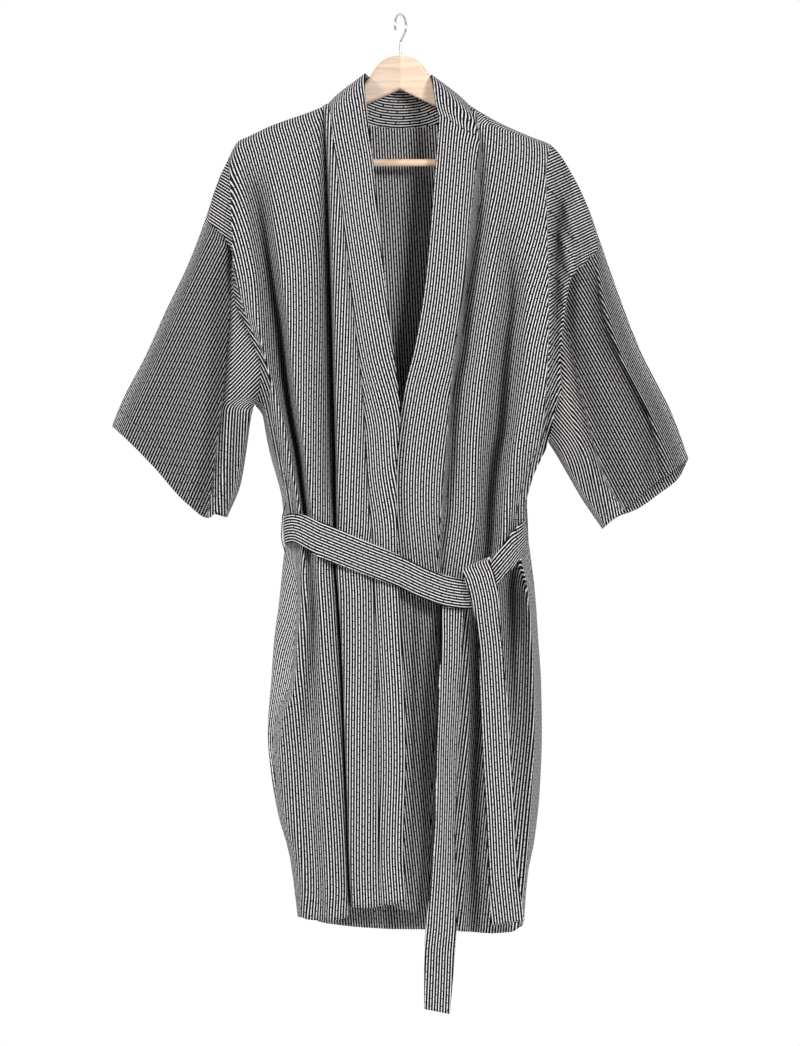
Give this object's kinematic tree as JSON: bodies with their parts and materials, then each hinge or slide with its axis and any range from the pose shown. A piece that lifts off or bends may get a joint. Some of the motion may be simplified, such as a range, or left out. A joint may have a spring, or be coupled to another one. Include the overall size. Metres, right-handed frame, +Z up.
{
  "type": "bathrobe",
  "caption": "Knee-length wrap bathrobe in striped cloth with wide short sleeves and a tied belt, hung on a contoured wooden hanger.",
  "frame": {"origin": "the inside of the top of the hook's loop, where it rests on a rail", "axes": "+Z up, the robe's front faces -Y, +X towards the viewer's right; the hook's plane stands 29 degrees off the YZ plane"},
  "size_m": [0.809, 0.1534, 1.4016],
  "materials": {
    "robe_cloth": "black cotton with thin white stripes, alternately solid and dashed",
    "belt_cloth": "the robe's striped cotton, doubled and edge-stitched",
    "loop_thread": "twisted black thread",
    "beech": "clear satin lacquer on pale beech",
    "hook_wire": "polished"
  },
  "bodies": {
    "hook": {"hanger_hook": "hook_wire"},
    "robe": {"hanger_arm_left": "beech", "hanger_arm_right": "beech", "trouser_bar": "beech", "front_left_panel": "robe_cloth", "front_right_panel": "robe_cloth", "back_panel": "robe_cloth", "front_band_left": "robe_cloth", "front_band_right": "robe_cloth", "neck_band_back": "robe_cloth", "belt_left_run": "belt_cloth", "belt_right_run": "belt_cloth", "belt_back_run": "belt_cloth", "belt_knot": "belt_cloth", "belt_loop_left": "loop_thread", "belt_loop_right": "loop_thread"},
    "sleeve_left": {"sleeve_left": "robe_cloth"},
    "sleeve_right": {"sleeve_right": "robe_cloth"},
    "belt_tail_front": {"belt_tail_front": "belt_cloth"},
    "belt_tail_back": {"belt_tail_back": "belt_cloth"},
    "skirt_flap": {"front_left_skirt": "robe_cloth", "front_band_left_skirt": "robe_cloth"}
  },
  "joints": [
    {"name": "hook_swivel", "type": "hinge", "parent": "hook", "child": "robe", "pos_m": [0, 0, -0.07], "axis": [0, 0, 1], "continuous": true},
    {"name": "sleeve_left_raise", "type": "hinge", "parent": "robe", "child": "sleeve_left", "pos_m": [-0.283, 0, -0.298], "axis": [0, 1, 0], "range_deg": [0, 30]},
    {"name": "sleeve_right_raise", "type": "hinge", "parent": "robe", "child": "sleeve_right", "pos_m": [0.287, 0, -0.322], "axis": [0, -1, 0], "range_deg": [0, 30]},
    {"name": "belt_tail_front_swing", "type": "hinge", "parent": "robe", "child": "belt_tail_front", "pos_m": [0.121, -0.0884, -0.838], "axis": [-1, 0, 0], "range_deg": [0, 45]},
    {"name": "belt_tail_back_swing", "type": "hinge", "parent": "robe", "child": "belt_tail_back", "pos_m": [0.0715, -0.0804, -0.838], "axis": [-1, 0, 0], "range_deg": [0, 45]},
    {"name": "skirt_open", "type": "hinge", "parent": "robe", "child": "skirt_flap", "pos_m": [-0.188, 0.003, -1.05], "axis": [0, 0, -1], "range_deg": [0, 35]}
  ]
}
